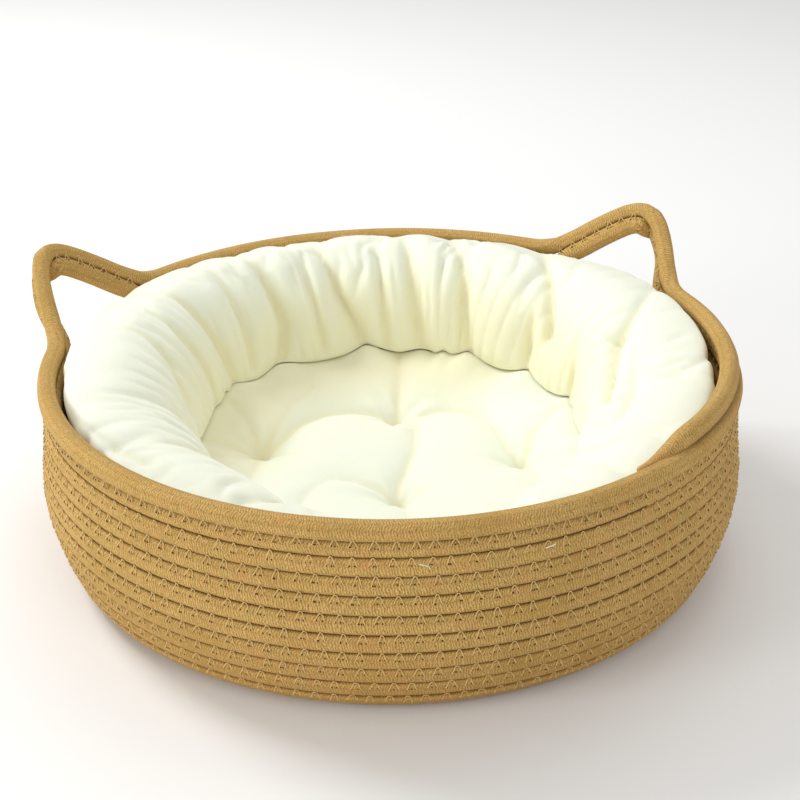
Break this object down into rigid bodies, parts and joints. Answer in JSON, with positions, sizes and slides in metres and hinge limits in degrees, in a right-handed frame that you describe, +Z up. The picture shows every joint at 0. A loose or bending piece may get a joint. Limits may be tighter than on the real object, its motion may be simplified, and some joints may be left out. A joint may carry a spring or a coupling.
{
  "type": "wicker pet bed basket",
  "caption": "Round coiled-rope pet bed with two ear-shaped rope loops on the rim and a lift-out ring cushion with a tufted pad.",
  "frame": {"origin": "on the floor, at the middle of the round base", "axes": "+Z up; +Y towards the back of the bed, midway between the two ears; +X to the right of someone looking from the front"},
  "size_m": [0.401, 0.3991, 0.1492],
  "materials": {
    "rope": "matt braided cotton rope, straw colour",
    "cushion_cloth": "soft matt cream cloth",
    "thread": "matt cream thread"
  },
  "bodies": {
    "basket": {"rope_rim": "rope", "rope_wall": "rope", "rope_base": "rope"},
    "cushion": {"bolster": "cushion_cloth", "pad": "cushion_cloth", "cushion_underside": "cushion_cloth", "tuft_right": "thread", "tuft_front": "thread", "tuft_left": "thread", "tuft_back": "thread"}
  },
  "joints": [
    {"name": "cushion_lift", "type": "slide", "parent": "basket", "child": "cushion", "axis": [0, 0, 1], "range_m": [0, 0.2]}
  ]
}
